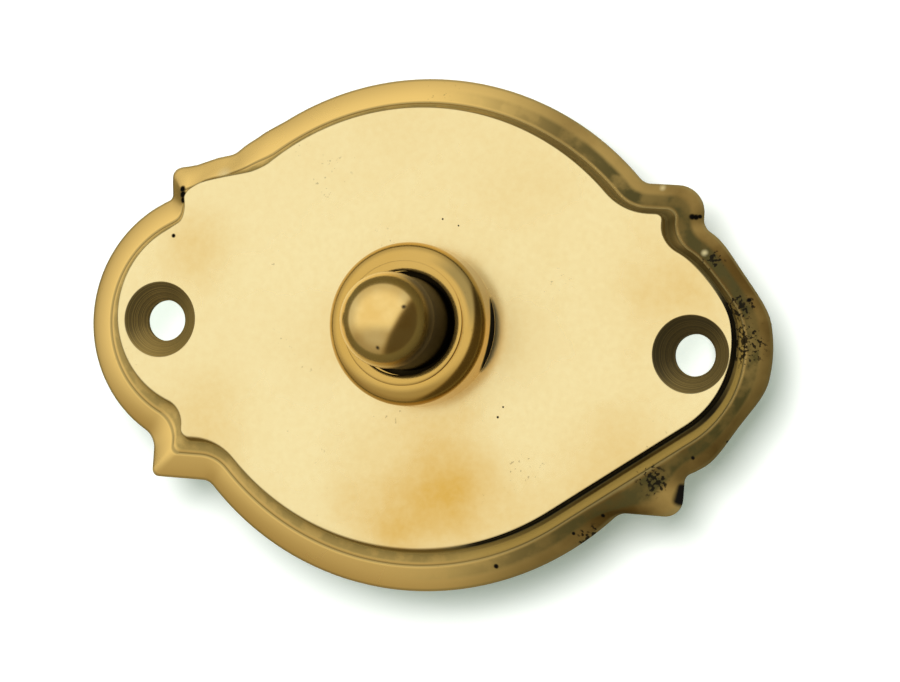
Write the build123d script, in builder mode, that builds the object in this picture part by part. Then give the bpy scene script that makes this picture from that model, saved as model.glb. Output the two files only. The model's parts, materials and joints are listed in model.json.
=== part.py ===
from build123d import *
from math import acos, atan2, cos, hypot, pi, radians, sin, tan
import os

os.makedirs("parts", exist_ok=True)

# Sizes are in millimetres. X runs along the plate and Z out of its face, on the axis of the push.
# The part lies on the flat back of its contact block, at Z = 0.
# The outline, the raised field and the screw holes are each a little off that axis, as cast and drilled.

# Outline of the cast plate: two arches, two end lobes and four ears
half_length = 38.1
half_width = 27.3
arch_radius = 31.5
end_radius = 14.2
ear_y = 17.3
ear_ledge = 6.7
outline_shift = (-0.95, -0.7)

# Corners of the outline, in the order upper left, upper right, lower right, lower left. The last values say
# how far a corner is drawn out straight, past its ear: not at all on the outline
outline_corners = {
    "shoulder": (1.8, 1.8, 1.8, 1.8),
    "notch": (0.8, 1.6, 1.0, 2.4),
    "ear": (1.7, 2.9, 1.9, 0.8),
    "straight": (0.0, 0.0, 0.0, 0.0),
}

# Moulded rim, heights taken from the plate's back: a low roll, then a crease, then a cove up to the field.
# The slopes are in degrees
rim_foot = 0.3
roll_foot_slope = 36
roll_crease_slope = 17
roll_steps = 4
crease_inset = 2.7
crease_corners = {
    "shoulder": (4.4, 4.4, 4.4, 4.4),
    "notch": (2.8, 3.2, 3.0, 3.2),
    "ear": (0.9, 1.0, 1.2, 0.8),
    "straight": (0.0, 0.0, 1.0, 0.0),
}
cove_crease_slope = 20
cove_field_slope = 80
cove_steps = 4

# Raised field and the dish behind it
field_inset = 3.9
field_shift = (-0.4, -0.2)
field_height = 4.4
field_thickness = 2.6
field_edge = 0.25
field_corners = {
    "shoulder": (6.5, 6.5, 6.5, 6.5),
    "notch": (2.8, 2.8, 1.6, 2.6),
    "ear": (0.8, 0.8, 2.2, 1.0),
    "straight": (0.0, 0.0, 1.0, 0.0),
}
cavity_inset = 5.5
cavity_edge = 0.8
cavity_corners = {
    "shoulder": (4.5, 4.5, 4.5, 4.5),
    "notch": (2.0, 2.0, 2.0, 2.0),
    "ear": (1.0, 1.0, 1.0, 1.0),
    "straight": (0.0, 0.0, 0.0, 0.0),
}
round_spare = 0.05
level_tolerance = 0.01

# Screw holes, drilled below the middle of the boss
hole_spacing = 59.0
hole_shift = (-0.05, -1.1)
hole_radius = 2.2
countersink_radius = 4.1

# Boss around the push, heights taken from the field
boss_radius = 8.45
boss_wall = 3.0
boss_height = 5.0
bead_radius = 6.55
bead_step = 0.12
lip_thickness = 1.4

# Turned push
push_radius = 5.0
push_dome_rise = 5.5
push_neck_relief = 0.12
push_gap = 0.45
flange_radius = 6.45
flange_thickness = 1.5
stem_radius = 2.0
running_clearance = 0.05
travel = 2.25

# Contact block behind the plate
block_radius = 17.5
block_height = 11.5
block_edge = 0.8
disc_thickness = 1.0
disc_seat = 0.5
contact_floor = 6.0
well_half_width = 4.5
well_corner = 2.0
well_end_wall = 3.0

# Contacts
terminal_x = 11.0
strip_thickness = 0.4
strip_width = 6.0
strip_tail = 3.0
leaf_reach = 3.0
leaf_flat = 3.4
leaf_bend = 1.5
point_radius = 1.2
point_rise = 0.5
point_shank_radius = 0.6
point_tail = 0.6
closed_gap = 0.05

# Tip of the push
tip_height = 1.2
tip_edge = 0.3
tip_peg_radius = 0.9
tip_peg_length = 1.6

# Return spring
spring_wire_radius = 0.3
spring_coil_radius = 4.0
spring_turns = 3
spring_seat_gap = 0.02

# Screws, nuts and washers
screw_radius = 1.5
screw_slack = 0.15
thread_fit = 0.02
head_radius = 2.75
head_height = 1.9
head_edge = 0.25
slot_width = 0.8
slot_depth = 0.9
nut_flats = 5.5
nut_height = 1.8
washer_radius = 3.3
washer_thickness = 0.6
spring_washer_radius = 2.7
spring_washer_gap = 0.7
terminal_web = 2.6
terminal_recess_radius = 4.0
wire_channel = 3.0
screw_end = 0.6
pillar_y = 12.5
pillar_radius = 3.2
pillar_root = 0.5
pillar_thread_skin = 0.8
block_screw_recess_radius = 3.3
block_screw_head_depth = 1.0

# Levels and places that follow from the sizes above
ear_x = (arch_radius**2 - (ear_y + arch_radius - half_width) ** 2) ** 0.5 + ear_ledge
arch_y = half_width - arch_radius
lobe_x = half_length - end_radius
disc_top = block_height + disc_thickness
plate_back = disc_top - disc_seat
field_top = plate_back + field_height
ceiling = field_top - field_thickness
boss_top = field_top + boss_height
lip_bottom = boss_top - lip_thickness
flange_top = lip_bottom - running_clearance
flange_bottom = flange_top - flange_thickness
dome_centre = boss_top + push_dome_rise
strip_top = contact_floor + strip_thickness
leaf_bottom = strip_top + 2 * point_rise + travel + closed_gap
leaf_top = leaf_bottom + strip_thickness
stem_bottom = leaf_top + tip_height
web_bottom = contact_floor - terminal_web
well_half_length = block_radius - well_end_wall


# How far across a circle reaches at a line that lies so far from its centre
def half_chord(radius, distance):
    return (radius**2 - distance**2) ** 0.5


# The largest round in a corner between a circle and a straight edge, within what the edge leaves free
def fitting_round(wanted, radius, distance, edge_end):
    across = half_chord(radius, distance)
    room = edge_end - round_spare - across
    return min(wanted, room * (radius + distance) / across)


# A value part of the way between two others, which may be pairs or lists of them
def between(low, high, share):
    if isinstance(low, tuple):
        return tuple(between(a, b, share) for a, b in zip(low, high))
    return low + (high - low) * share


# An edge is given by its start, its middle and its end
def line_edge(start, end):
    return start, between(start, end, 0.5), end


def arc_edge(x, y, radius, start, end):
    turns = (start, (start + end) / 2, end)
    return tuple((x + radius * cos(turn), y + radius * sin(turn)) for turn in turns)


# A quarter of the cartouche with its ear: seven edges from the middle of the end lobe to the middle of the arch
def eared_quarter(inset, shoulder, notch, ear):
    arch = arch_radius - inset
    lobe = end_radius - inset
    side = ear_x - inset
    top = ear_y - inset
    shoulder = fitting_round(shoulder, arch, top - arch_y, side - ear)
    notch = fitting_round(notch, lobe, side - lobe_x, top - ear)
    shoulder_x = half_chord(arch + shoulder, top + shoulder - arch_y)
    notch_y = half_chord(lobe + notch, side + notch - lobe_x)
    lobe_end = atan2(notch_y, side + notch - lobe_x)
    arch_start = atan2(top + shoulder - arch_y, shoulder_x)
    return (
        arc_edge(lobe_x, 0, lobe, 0, lobe_end),
        arc_edge(side + notch, notch_y, notch, lobe_end + pi, pi),
        line_edge((side, notch_y), (side, top - ear)),
        arc_edge(side - ear, top - ear, ear, 0, pi / 2),
        line_edge((side - ear, top), (shoulder_x, top)),
        arc_edge(shoulder_x, top + shoulder, shoulder, 3 * pi / 2, arch_start + pi),
        arc_edge(0, arch_y, arch, arch_start, pi / 2),
    )


# The same quarter with its ear drawn out: as many edges, five of them along the line that touches lobe and arch
def straight_quarter(inset):
    arch = arch_radius - inset
    lobe = end_radius - inset
    touch = atan2(-arch_y, lobe_x) + acos((arch - lobe) / hypot(lobe_x, arch_y))
    start = (lobe_x + lobe * cos(touch), lobe * sin(touch))
    end = (arch * cos(touch), arch_y + arch * sin(touch))
    stops = [between(start, end, step / 5) for step in range(6)]
    return (
        arc_edge(lobe_x, 0, lobe, 0, touch),
        *[line_edge(low, high) for low, high in zip(stops, stops[1:])],
        arc_edge(0, arch_y, arch, touch, pi / 2),
    )


# The cartouche, or a moulding line that runs inside it at an even distance
def cartouche(inset, corners):
    sides = ((-1, 1), (1, 1), (1, -1), (-1, -1))
    with BuildSketch() as line:
        with BuildLine():
            for (left_right, up_down), shoulder, notch, ear, straight in zip(sides, *corners.values()):
                quarter = eared_quarter(inset, shoulder, notch, ear)
                quarter = between(quarter, straight_quarter(inset), straight)
                for edge in quarter:
                    start, middle, end = [Vector(left_right * x, up_down * y) for x, y in edge]
                    bulge = abs((end - start).cross(middle - start).Z)
                    if bulge < level_tolerance:
                        Line(start, end)
                    else:
                        ThreePointArc(start, middle, end)
        make_face()
    return line.sketch


# A moulding line of the rim at a height, part of the way from one set of corners and place to another
def rim_line(inset, height, low_corners, high_corners, low_shift, high_shift, share):
    corners = {name: between(low_corners[name], high_corners[name], share) for name in low_corners}
    with BuildSketch(Plane.XY.offset(plate_back + height)) as line:
        with Locations(between(low_shift, high_shift, share)):
            add(cartouche(inset, corners))
    return line.sketch


# The lines of the roll, which gets flatter at an even rate from its foot to the crease
roll_lines = []
for step in range(roll_steps + 1):
    share = step / roll_steps
    inset = share * crease_inset
    slope = between(tan(radians(roll_foot_slope)), tan(radians(roll_crease_slope)), share / 2)
    roll_lines.append(
        rim_line(
            inset,
            rim_foot + slope * inset,
            outline_corners,
            crease_corners,
            outline_shift,
            outline_shift,
            share,
        )
    )
crease_height = rim_foot + slope * crease_inset

# The lines of the cove, a hollow arc that gets steeper from the crease to the foot of the field's wall
cove_start = radians(cove_crease_slope)
cove_end = radians(cove_field_slope)
cove_radius = (field_inset - crease_inset) / (sin(cove_end) - sin(cove_start))
cove_lines = []
for step in range(cove_steps + 1):
    slope = between(cove_start, cove_end, step / cove_steps)
    inset = crease_inset + cove_radius * (sin(slope) - sin(cove_start))
    height = crease_height + cove_radius * (cos(cove_start) - cos(slope))
    share = (inset - crease_inset) / (field_inset - crease_inset)
    cove_lines.append(
        rim_line(inset, height, crease_corners, field_corners, outline_shift, field_shift, share)
    )
cove_height = height

# Cast brass plate with its moulded rim, boss, pillars and dished back
with BuildPart() as push_plate:
    with BuildSketch(Plane.XY.offset(plate_back)):
        with Locations(outline_shift):
            add(cartouche(0, outline_corners))
    extrude(amount=rim_foot)
    loft(roll_lines)
    loft(cove_lines)
    with BuildSketch(Plane.XY.offset(plate_back + cove_height)):
        with Locations(field_shift):
            add(cartouche(field_inset, field_corners))
    extrude(amount=field_height - cove_height)
    fillet(push_plate.faces().sort_by(Axis.Z)[-1].edges(), field_edge)
    with BuildSketch(Plane.XY.offset(plate_back)):
        add(cartouche(cavity_inset, cavity_corners))
    extrude(amount=ceiling - plate_back, mode=Mode.SUBTRACT)
    cavity = push_plate.faces().filter_by(lambda face: abs(face.center().Z - ceiling) < level_tolerance)
    fillet(cavity.edges(), cavity_edge)
    with BuildSketch(Plane.XZ):
        with BuildLine():
            wall = Line((0, ceiling), (boss_radius, ceiling))
            wall = Line(wall @ 1, (boss_radius, field_top + boss_wall))
            shoulder = EllipticalCenterArc(
                (bead_radius, field_top + boss_wall),
                boss_radius - bead_radius,
                boss_height - boss_wall - 2 * bead_step,
                arc_size=90,
            )
            Line(shoulder @ 1, (bead_radius, boss_top - bead_step))
            bead = ThreePointArc(
                (bead_radius, boss_top - bead_step),
                ((bead_radius + push_radius + push_gap) / 2, boss_top),
                (push_radius + push_gap, boss_top - bead_step),
            )
            Polyline(bead @ 1, (0, boss_top - bead_step), (0, ceiling))
        make_face()
    revolve(axis=Axis.Z)
    with BuildSketch(Plane.XY.offset(ceiling)):
        Circle(flange_radius + running_clearance)
    extrude(amount=lip_bottom - ceiling, mode=Mode.SUBTRACT)
    with BuildSketch(Plane.XY.offset(lip_bottom)):
        Circle(push_radius + push_gap)
    extrude(amount=boss_height, mode=Mode.SUBTRACT)
    with BuildSketch(Plane.XY.offset(disc_top)):
        with Locations((0, pillar_y), (0, -pillar_y)):
            Circle(pillar_radius)
    extrude(amount=ceiling - disc_top + pillar_root)
    with BuildSketch(Plane.XY.offset(disc_top)):
        with Locations((0, pillar_y), (0, -pillar_y)):
            Circle(screw_radius + thread_fit)
    extrude(amount=field_top - pillar_thread_skin - disc_top, mode=Mode.SUBTRACT)
    with Locations((*hole_shift, field_top)):
        with GridLocations(hole_spacing, 0, 2, 1):
            CounterSinkHole(hole_radius, countersink_radius, counter_sink_angle=90)
push_plate.part.label = "push_plate"
export_step(push_plate.part, "parts/push_plate.step")

# Turned brass push with its domed head, retaining flange and stem
with BuildPart() as push_button:
    with BuildSketch(Plane.XZ):
        with BuildLine():
            dome = CenterArc((0, dome_centre), push_radius, 0, 90)
            neck_radius = push_radius - push_neck_relief
            Polyline(
                dome @ 0,
                (neck_radius, dome_centre - push_neck_relief),
                (neck_radius, flange_top),
                (flange_radius, flange_top),
                (flange_radius, flange_bottom),
                (stem_radius, flange_bottom),
                (stem_radius, stem_bottom),
                (0, stem_bottom),
                dome @ 1,
            )
        make_face()
    revolve(axis=Axis.Z)
    with BuildSketch(Plane.XY.offset(stem_bottom)):
        Circle(tip_peg_radius + thread_fit)
    extrude(amount=tip_peg_length + thread_fit, mode=Mode.SUBTRACT)
push_button.part.label = "push_button"
export_step(push_button.part, "parts/push_button.step")

# Ebonite tip that keeps the brass push off the live leaf
with BuildPart() as button_tip:
    with BuildSketch(Plane.XY.offset(leaf_top)):
        Circle(stem_radius)
    extrude(amount=tip_height)
    chamfer(button_tip.faces().sort_by(Axis.Z)[0].edges(), tip_edge)
    with BuildSketch(Plane.XY.offset(stem_bottom)):
        Circle(tip_peg_radius)
    extrude(amount=tip_peg_length)
button_tip.part.label = "button_tip"
export_step(button_tip.part, "parts/button_tip.step")

# Fibre disc between the plate and the block: it guides the stem and seats the spring
with BuildPart() as insulating_disc:
    with BuildSketch(Plane.XY.offset(block_height)):
        Circle(block_radius)
        Circle(stem_radius + running_clearance, mode=Mode.SUBTRACT)
        with Locations((0, pillar_y), (0, -pillar_y)):
            Circle(screw_radius + screw_slack, mode=Mode.SUBTRACT)
    extrude(amount=disc_thickness)
insulating_disc.part.label = "insulating_disc"
export_step(insulating_disc.part, "parts/insulating_disc.step")

# Moulded contact block with its well, terminal recesses and wire channels
with BuildPart() as contact_block:
    with BuildSketch():
        Circle(block_radius)
    extrude(amount=block_height)
    fillet(contact_block.faces().sort_by(Axis.Z)[0].edges(), block_edge)
    with BuildSketch(Plane.XY.offset(contact_floor)):
        RectangleRounded(2 * well_half_length, 2 * well_half_width, well_corner)
    extrude(amount=block_height - contact_floor, mode=Mode.SUBTRACT)
    with BuildSketch():
        with Locations((terminal_x, 0), (-terminal_x, 0)):
            Circle(terminal_recess_radius)
        with Locations((terminal_x, 0)):
            Rectangle(block_radius, wire_channel, align=(Align.MIN, Align.CENTER))
        with Locations((-terminal_x, 0)):
            Rectangle(block_radius, wire_channel, align=(Align.MAX, Align.CENTER))
    extrude(amount=web_bottom, mode=Mode.SUBTRACT)
    with BuildSketch():
        with Locations((0, pillar_y), (0, -pillar_y)):
            Circle(block_screw_recess_radius)
    extrude(amount=block_screw_head_depth + head_height + washer_thickness, mode=Mode.SUBTRACT)
    with BuildSketch():
        with Locations((terminal_x, 0), (-terminal_x, 0), (0, pillar_y), (0, -pillar_y)):
            Circle(screw_radius + screw_slack)
    extrude(amount=block_height, mode=Mode.SUBTRACT)
    with BuildSketch(Plane.XY.offset(contact_floor - point_tail)):
        Circle(point_radius)
    extrude(amount=point_tail, mode=Mode.SUBTRACT)
contact_block.part.label = "contact_block"
export_step(contact_block.part, "parts/contact_block.step")

# Springy moving leaf, clamped on the left and bowed up to the tip of the push
with BuildPart() as moving_contact:
    with BuildSketch(Plane.XZ):
        with BuildLine() as bow:
            FilletPolyline(
                (-terminal_x - strip_tail, contact_floor + strip_thickness / 2),
                (-terminal_x + leaf_flat, contact_floor + strip_thickness / 2),
                (-leaf_reach, leaf_top - strip_thickness / 2),
                (leaf_reach, leaf_top - strip_thickness / 2),
                radius=leaf_bend,
            )
        trace(line_width=strip_thickness)
    extrude(amount=strip_width / 2, both=True)
    with BuildSketch(Plane.XY.offset(contact_floor)):
        with Locations((-terminal_x, 0)):
            Circle(screw_radius + screw_slack)
        Circle(point_shank_radius + thread_fit)
    extrude(amount=block_height - contact_floor, mode=Mode.SUBTRACT)
moving_contact.part.label = "moving_contact"
export_step(moving_contact.part, "parts/moving_contact.step")

# Flat fixed strip, clamped on the right and reaching under the leaf
with BuildPart() as fixed_contact:
    with BuildSketch(Plane.XY.offset(contact_floor)):
        with Locations((terminal_x + strip_tail, 0)):
            Rectangle(terminal_x + strip_tail + leaf_reach, strip_width, align=(Align.MAX, Align.CENTER))
        with Locations((terminal_x, 0)):
            Circle(screw_radius + screw_slack, mode=Mode.SUBTRACT)
        Circle(point_shank_radius + thread_fit, mode=Mode.SUBTRACT)
    extrude(amount=strip_thickness)
fixed_contact.part.label = "fixed_contact"
export_step(fixed_contact.part, "parts/fixed_contact.step")


# A contact rivet: a low dome on the shank that goes through its strip
def contact_point(name, seat, rise, shank):
    with BuildPart() as point:
        with BuildSketch(Plane.XZ):
            with BuildLine():
                dome = TangentArc((0, seat + rise), (point_radius, seat), tangent=(1, 0))
                Polyline(
                    dome @ 1,
                    (point_shank_radius, seat),
                    (point_shank_radius, seat - shank),
                    (0, seat - shank),
                    dome @ 0,
                )
            make_face()
        revolve(axis=Axis.Z)
    point.part.label = name
    export_step(point.part, f"parts/{name}.step")


contact_point("moving_contact_point", leaf_bottom, -point_rise, -strip_thickness)
contact_point("fixed_contact_point", strip_top, point_rise, strip_thickness + point_tail)

# Coil spring from the disc up to the flange, with a closed turn at each end
with BuildPart() as return_spring:
    wire = 2 * spring_wire_radius
    seat = disc_top + spring_wire_radius + spring_seat_gap
    crown = flange_bottom - spring_wire_radius - spring_seat_gap
    free_height = crown - seat - 2 * wire
    with BuildLine() as coil:
        Helix(pitch=wire, height=wire, radius=spring_coil_radius, center=(0, 0, seat))
        Helix(
            pitch=free_height / spring_turns,
            height=free_height,
            radius=spring_coil_radius,
            center=(0, 0, seat + wire),
        )
        Helix(pitch=wire, height=wire, radius=spring_coil_radius, center=(0, 0, crown - wire))
    with BuildSketch(Plane(coil.line @ 0, z_dir=coil.line % 0)):
        Circle(spring_wire_radius)
    sweep(path=coil.line)
return_spring.part.label = "return_spring"
export_step(return_spring.part, "parts/return_spring.step")


# A slotted screw: a head at the given level with its shank going up
def slotted_screw(name, x, y, head_bottom, tip):
    with BuildPart(Plane.XY.offset(head_bottom)) as screw:
        with Locations((x, y)):
            Cylinder(head_radius, head_height, align=(Align.CENTER, Align.CENTER, Align.MIN))
            fillet(screw.edges().filter_by(GeomType.CIRCLE).sort_by(Axis.Z)[0], head_edge)
            Cylinder(screw_radius, tip - head_bottom, align=(Align.CENTER, Align.CENTER, Align.MIN))
            chamfer(screw.edges().filter_by(GeomType.CIRCLE).sort_by(Axis.Z)[-1], head_edge)
            Box(
                2 * head_radius,
                slot_width,
                slot_depth,
                align=(Align.CENTER, Align.CENTER, Align.MIN),
                mode=Mode.SUBTRACT,
            )
    screw.part.label = name
    export_step(screw.part, f"parts/{name}.step")


# Terminal hardware: a screw from the back, its clamp washer, and a nut on the strip
for side, x in (("left", -terminal_x), ("right", terminal_x)):
    head_bottom = web_bottom - washer_thickness - head_height
    slotted_screw(f"terminal_screw_{side}", x, 0, head_bottom, strip_top + nut_height + screw_end)
    with BuildPart() as washer:
        with BuildSketch(Plane.XY.offset(web_bottom)):
            with Locations((x, 0)):
                Circle(washer_radius)
                Circle(screw_radius + screw_slack, mode=Mode.SUBTRACT)
        extrude(amount=-washer_thickness)
    washer.part.label = f"terminal_washer_{side}"
    export_step(washer.part, f"parts/terminal_washer_{side}.step")
    with BuildPart() as nut:
        with BuildSketch(Plane.XY.offset(strip_top)):
            with Locations((x, 0)):
                RegularPolygon(nut_flats / 2, 6, major_radius=False)
                Circle(screw_radius + thread_fit, mode=Mode.SUBTRACT)
        extrude(amount=nut_height)
    nut.part.label = f"terminal_nut_{side}"
    export_step(nut.part, f"parts/terminal_nut_{side}.step")

# Block screws with spring washers, up into the tapped pillars of the plate
for side, y in (("upper", pillar_y), ("lower", -pillar_y)):
    screw_tip = field_top - pillar_thread_skin - screw_end
    slotted_screw(f"block_screw_{side}", 0, y, block_screw_head_depth, screw_tip)
    with BuildPart() as washer:
        with BuildSketch(Plane.XY.offset(block_screw_head_depth + head_height)):
            with Locations((0, y)):
                Circle(spring_washer_radius)
                Circle(screw_radius + screw_slack, mode=Mode.SUBTRACT)
                Rectangle(
                    2 * spring_washer_radius,
                    spring_washer_gap,
                    align=(Align.MIN, Align.CENTER),
                    mode=Mode.SUBTRACT,
                )
        extrude(amount=washer_thickness)
    washer.part.label = f"spring_washer_{side}"
    export_step(washer.part, f"parts/spring_washer_{side}.step")
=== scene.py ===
import json
import math

import bmesh
import bpy
from mathutils import Matrix, Vector


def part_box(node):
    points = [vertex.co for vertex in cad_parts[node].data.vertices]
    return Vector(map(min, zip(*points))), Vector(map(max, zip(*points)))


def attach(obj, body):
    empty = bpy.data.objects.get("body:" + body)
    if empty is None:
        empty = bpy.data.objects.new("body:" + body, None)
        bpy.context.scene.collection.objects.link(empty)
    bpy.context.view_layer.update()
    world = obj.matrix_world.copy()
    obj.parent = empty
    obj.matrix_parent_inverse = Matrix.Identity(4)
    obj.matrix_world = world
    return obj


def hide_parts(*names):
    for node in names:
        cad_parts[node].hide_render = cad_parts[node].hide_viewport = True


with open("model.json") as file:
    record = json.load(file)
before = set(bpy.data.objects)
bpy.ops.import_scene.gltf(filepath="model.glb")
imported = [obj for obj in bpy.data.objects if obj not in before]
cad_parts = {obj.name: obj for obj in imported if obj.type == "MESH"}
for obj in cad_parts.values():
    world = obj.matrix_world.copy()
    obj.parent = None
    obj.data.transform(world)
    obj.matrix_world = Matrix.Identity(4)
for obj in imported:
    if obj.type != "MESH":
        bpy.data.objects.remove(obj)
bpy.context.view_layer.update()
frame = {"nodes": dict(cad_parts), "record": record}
nodes = frame["nodes"]
print("frame loaded with", len(nodes), "nodes")

mm = 0.001
mergeWithin = 0.001 * mm


# Part of the way from one value to another. The share may be a number or a wire
def between(low, high, share):
    if isinstance(low, tuple):
        return tuple(between(a, b, share) for a, b in zip(low, high))
    return low + (high - low) * share


# Adds up named values, each as much as its weight says
def weighed(values, weights):
    return sum(weight * values[name] for name, weight in weights.items())


# Wraps a shader socket, so that maths on it is written as plain expressions
class Wire:
    def __init__(self, bench, socket):
        self.bench = bench
        self.socket = socket

    def __add__(self, other):
        return self.bench.maths("ADD", self, other)

    def __radd__(self, other):
        return self.bench.maths("ADD", other, self)

    def __sub__(self, other):
        return self.bench.maths("SUBTRACT", self, other)

    def __rsub__(self, other):
        return self.bench.maths("SUBTRACT", other, self)

    def __mul__(self, other):
        return self.bench.maths("MULTIPLY", self, other)

    def __rmul__(self, other):
        return self.bench.maths("MULTIPLY", other, self)


# One node tree and the ways this script adds to it
class Bench:
    def __init__(self, owner):
        owner.use_nodes = True
        self.tree = owner.node_tree
        self.tree.nodes.clear()

    # Adds a node: its settings first, then the values or links of its sockets
    def node(self, kind, settings=None, sockets=None, out=0):
        made = self.tree.nodes.new(kind)
        for name, value in (settings or {}).items():
            setattr(made, name, value)
        for name, value in (sockets or {}).items():
            if isinstance(value, Wire):
                self.tree.links.new(value.socket, made.inputs[name])
            else:
                made.inputs[name].default_value = value
        if isinstance(out, tuple):
            return [Wire(self, made.outputs[each]) for each in out]
        return Wire(self, made.outputs[out]) if made.outputs else None

    def maths(self, operation, first, second):
        return self.node("ShaderNodeMath", {"operation": operation}, {0: first, 1: second})

    def most(self, first, *others):
        for other in others:
            first = self.maths("MAXIMUM", first, other)
        return first

    # Goes smoothly from 0 to 1 as the value goes from low to high, or from 1 to 0 where low is the higher
    def fade(self, value, low, high):
        sockets = {"Value": value, "From Min": min(low, high), "From Max": max(low, high)}
        rising = self.node("ShaderNodeMapRange", {"interpolation_type": "SMOOTHSTEP", "clamp": True}, sockets)
        return rising if low < high else 1 - rising

    # 1 between the two inner values, fading to 0 at the two outer ones
    def band(self, value, start, full, stillFull, end):
        return self.fade(value, start, full) * self.fade(value, end, stillFull)

    def mix(self, factor, under, over):
        return self.node("ShaderNodeMix", {"data_type": "RGBA"}, {0: factor, 6: under, 7: over}, out=2)

    def noise(self, where, scale, detail):
        return self.node("ShaderNodeTexNoise", None, {"Vector": where, "Scale": scale, "Detail": detail})

    # Fine rings, as a turning tool leaves them, along a distance
    def turned(self, distance, finer, detail):
        sockets = {"W": distance * finer, "Detail": detail}
        return self.node("ShaderNodeTexNoise", {"noise_dimensions": "1D"}, sockets)

    def places(self):
        return self.node("ShaderNodeTexCoord", out="Object")

    def apart(self, where):
        return self.node("ShaderNodeSeparateXYZ", None, {0: where}, out=("X", "Y", "Z"))

    # A place on the object, in mm
    def inMm(self, where):
        return [part * (1 / mm) for part in self.apart(where)]

    # How far a place is from an upright line, in mm
    def awayFrom(self, where, x, y):
        flat = self.node("ShaderNodeVectorMath", {"operation": "MULTIPLY"}, {0: where, 1: (1, 1, 0)})
        middle = (x * mm, y * mm, 0)
        away = self.node("ShaderNodeVectorMath", {"operation": "DISTANCE"}, {0: flat, 1: middle}, out="Value")
        return away * (1 / mm)

    # A soft round patch, 1 in its middle and 0 past its radius. Its edge is the share of it that is full
    def patch(self, where, x, y, radius, edge=0.0):
        return self.fade(self.awayFrom(where, x, y), radius, edge * radius)

    def anyPatch(self, where, patches, edge=0.0):
        return self.most(*[self.patch(where, x, y, radius, edge) for x, y, radius in patches])

    def surface(self, sockets):
        body = self.node("ShaderNodeBsdfPrincipled", None, sockets)
        self.node("ShaderNodeOutputMaterial", None, {"Surface": body})


def colour(red, green, blue):
    return (red, green, blue, 1)


def deselectAll():
    bpy.ops.object.select_all(action="DESELECT")


# Camera, at the photo's viewing angle
cameraSet = {
    "target": (-0.95 * mm, -0.7 * mm, 12.0 * mm),
    "distance": 0.398,
    "tilt": 18.33,
    "towards": -6.19,
    "roll": 4.62,
    "lens": 149.4,
    "shift": (0.0290, -0.0074),
    "clipStart": 0.01,
}


def makeCamera():
    tilt = math.radians(cameraSet["tilt"])
    towards = math.radians(cameraSet["towards"])
    roll = math.radians(cameraSet["roll"])
    back = Vector((math.sin(tilt) * math.cos(towards), math.sin(tilt) * math.sin(towards), math.cos(tilt)))
    up = Vector((-math.sin(roll), math.cos(roll), 0))
    right = up.cross(back).normalized()
    up = back.cross(right)
    place = Matrix((right, up, back)).transposed().to_4x4()
    place.translation = Vector(cameraSet["target"]) + cameraSet["distance"] * back
    lens = bpy.data.cameras.new("photoCamera")
    lens.lens = cameraSet["lens"]
    lens.shift_x, lens.shift_y = cameraSet["shift"]
    lens.clip_start = cameraSet["clipStart"]
    camera = bpy.data.objects.new("photoCamera", lens)
    bpy.context.collection.objects.link(camera)
    camera.matrix_world = place
    bpy.context.scene.camera = camera


makeCamera()
print("camera set")

# Floor and light. Lengths are in metres, but the painted pools of light on the floor are x, y and radius in mm
studio = {
    "floorSize": 3.0,
    "floorShade": (0.945, 0.95, 0.945),
    "floorGrain": (0.90, 0.905, 0.90),
    "floorNoise": (90.0, 3.0),
    "floorMix": 0.5,
    "floorRough": 0.85,
    "floorShadow": (0.10, 0.12, 0.105),
    "paintedHoleLightShade": (0.68, 0.74, 0.68),
    "paintedHoleLights": ((-34.6, -0.4, 5.0), (24.4, -0.4, 4.6)),
    "holeEdge": 0.6,
    "roomShade": (0.80, 1.0, 0.85),
    "roomGlow": 0.40,
    "panelSide": (0.878, -0.40, -0.263),
    "panelFade": (0.45, 0.22),
    "panelGlow": 1.03,
    "paleShade": (1.0, 0.985, 0.95),
    "darkGlow": 0.10,
    "warmShade": (1.0, 0.78, 0.42),
    "warmFade": (0.10, 0.75),
    "nearFade": (-0.12, -0.62),
    "nearLoss": 0.50,
    "lowFade": (0.62, 0.12),
    "lowLoss": 0.34,
    "underFade": (0.02, -0.06),
    "underGlow": 0.22,
    "underShade": (0.80, 0.72, 0.42),
    "keyPlace": (0.060, 0.085, 0.54),
    "keySize": (0.23, 0.23),
    "keyPower": 3.1,
    "keyShade": (1.0, 0.97, 0.97),
}


# The floor glows a little, and more in two painted pools of light below the two screw holes, where light through
# them would fall
def makeFloor():
    s = studio
    bpy.ops.mesh.primitive_plane_add(size=s["floorSize"], location=(0, 0, 0))
    floor = bpy.context.active_object
    floor.name = "floor"
    floor.visible_glossy = False
    material = bpy.data.materials.new("paleFloor")
    bench = Bench(material)
    where = bench.places()
    grain = bench.noise(where, *s["floorNoise"])
    shade = bench.mix(grain * s["floorMix"], colour(*s["floorShade"]), colour(*s["floorGrain"]))
    # Painted light: two glowing patches on the floor below the screw holes
    through = bench.anyPatch(where, s["paintedHoleLights"], s["holeEdge"])
    glow = bench.mix(through, colour(*s["floorShadow"]), colour(*s["paintedHoleLightShade"]))
    bench.surface({"Base Color": shade, "Roughness": s["floorRough"], "Emission Color": glow,
                   "Emission Strength": 1.0})
    floor.data.materials.append(material)


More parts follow.
